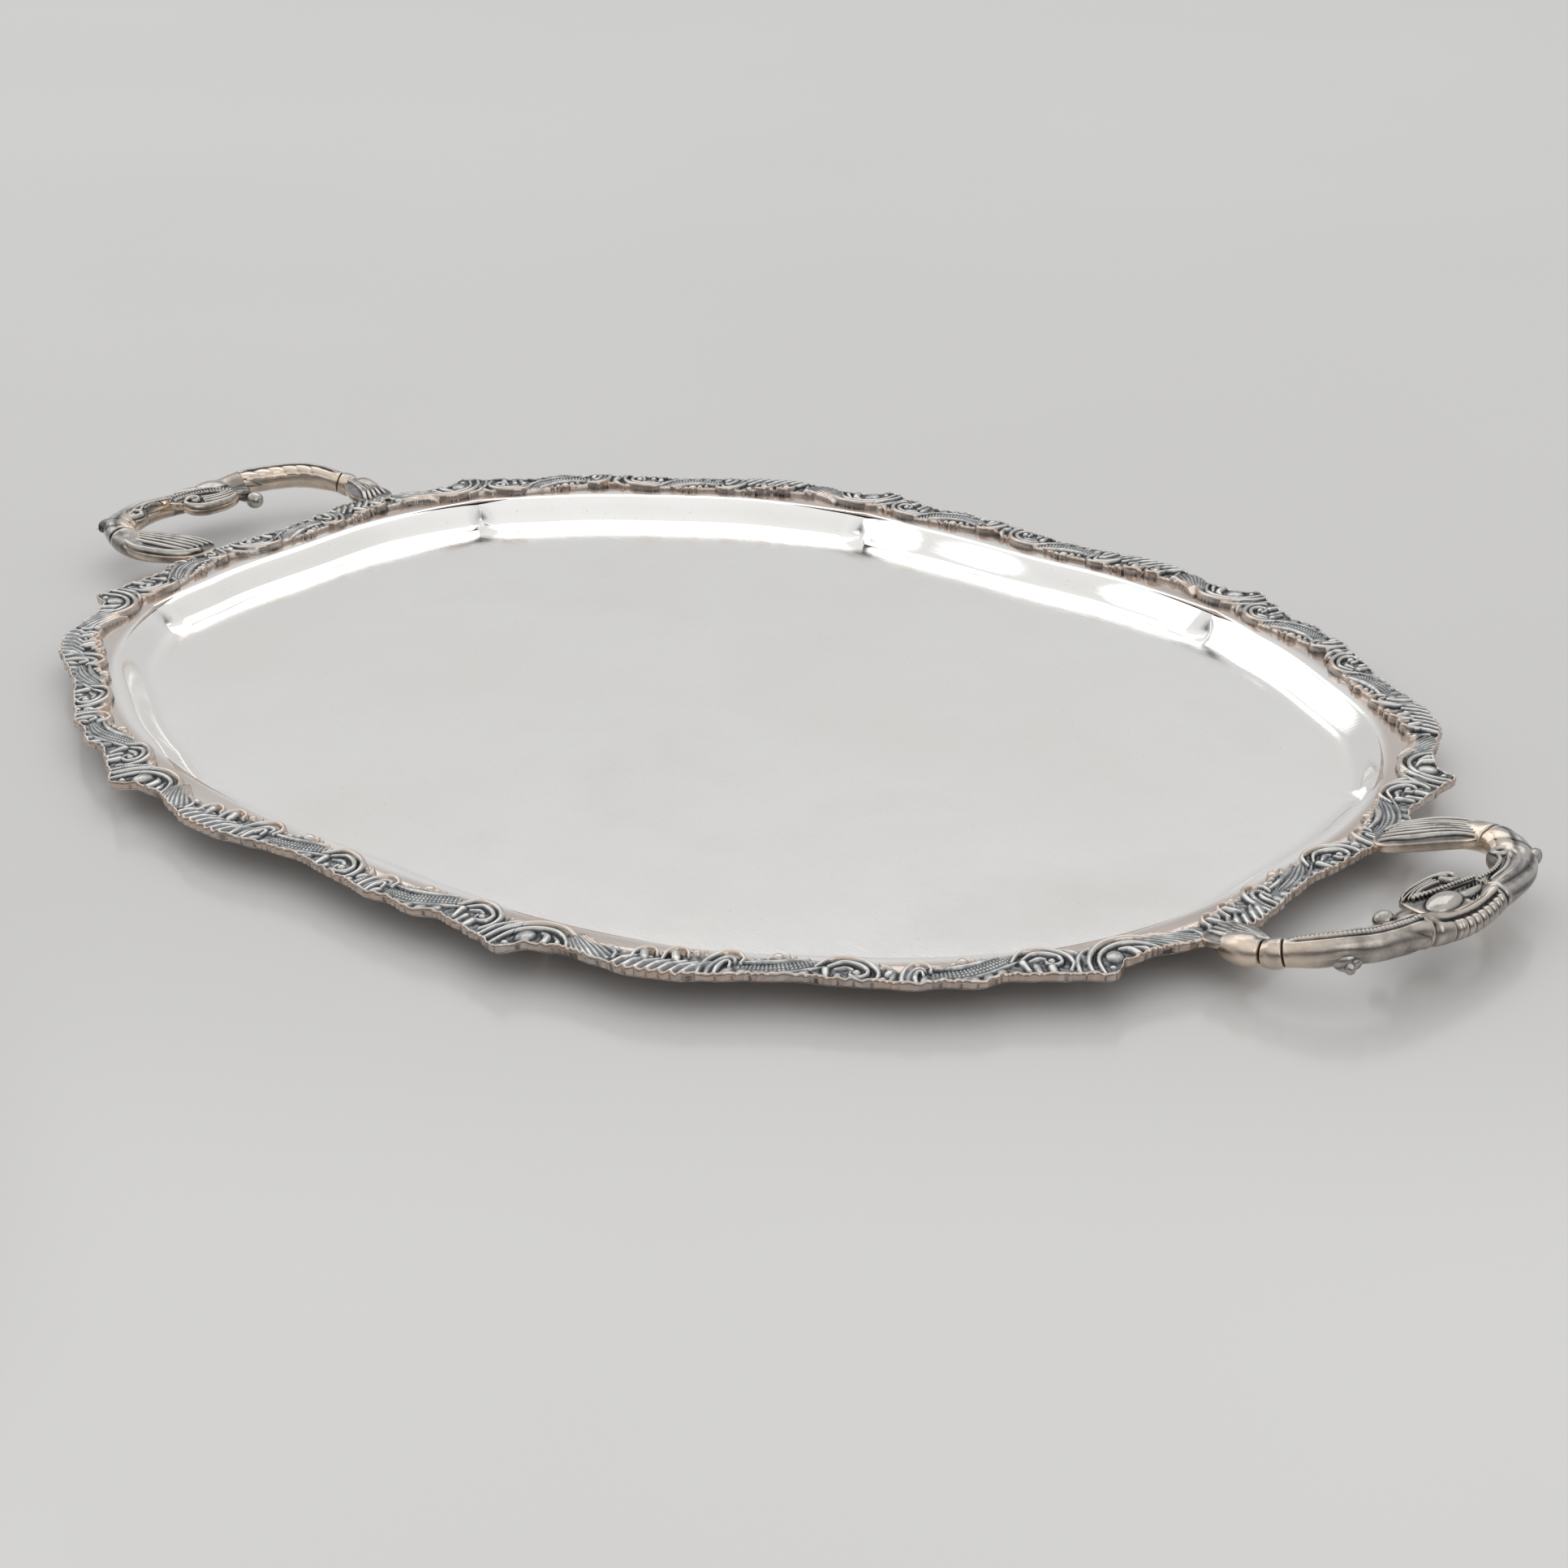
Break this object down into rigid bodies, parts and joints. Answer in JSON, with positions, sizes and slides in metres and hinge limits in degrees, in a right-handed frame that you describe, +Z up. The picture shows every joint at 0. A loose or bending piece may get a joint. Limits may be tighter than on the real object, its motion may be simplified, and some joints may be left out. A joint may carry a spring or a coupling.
{
  "type": "two-handled oval tray",
  "caption": "Shallow oval silver tray with a lobed wall, a cast scroll and leaf border and loop handles, for carrying or for standing small bottles on.",
  "frame": {"origin": "middle of the flat underside of the well", "axes": "+X runs from handle to handle, +Y runs across the oval, +Z points up out of the well"},
  "size_m": [0.6394, 0.4094, 0.0231],
  "materials": {
    "sheet": "polished silver sheet, slightly hazy, with a warm tint",
    "border": "cast silver with blue-grey patina in the recesses and bright warm ridges",
    "handle": "cast silver with a warm brown-grey patina and worn bright high points"
  },
  "bodies": {
    "root": {"tray_body": "sheet", "border_section_1": "border", "border_section_2": "border", "border_section_3": "border", "border_section_4": "border", "border_section_5": "border", "border_section_6": "border", "border_section_7": "border", "border_section_8": "border", "right_handle_plain_arm": "handle", "right_handle_cartouche": "handle", "right_handle_leaf_arm": "handle", "left_handle_plain_arm": "handle", "left_handle_cartouche": "handle", "left_handle_leaf_arm": "handle"}
  },
  "joints": []
}
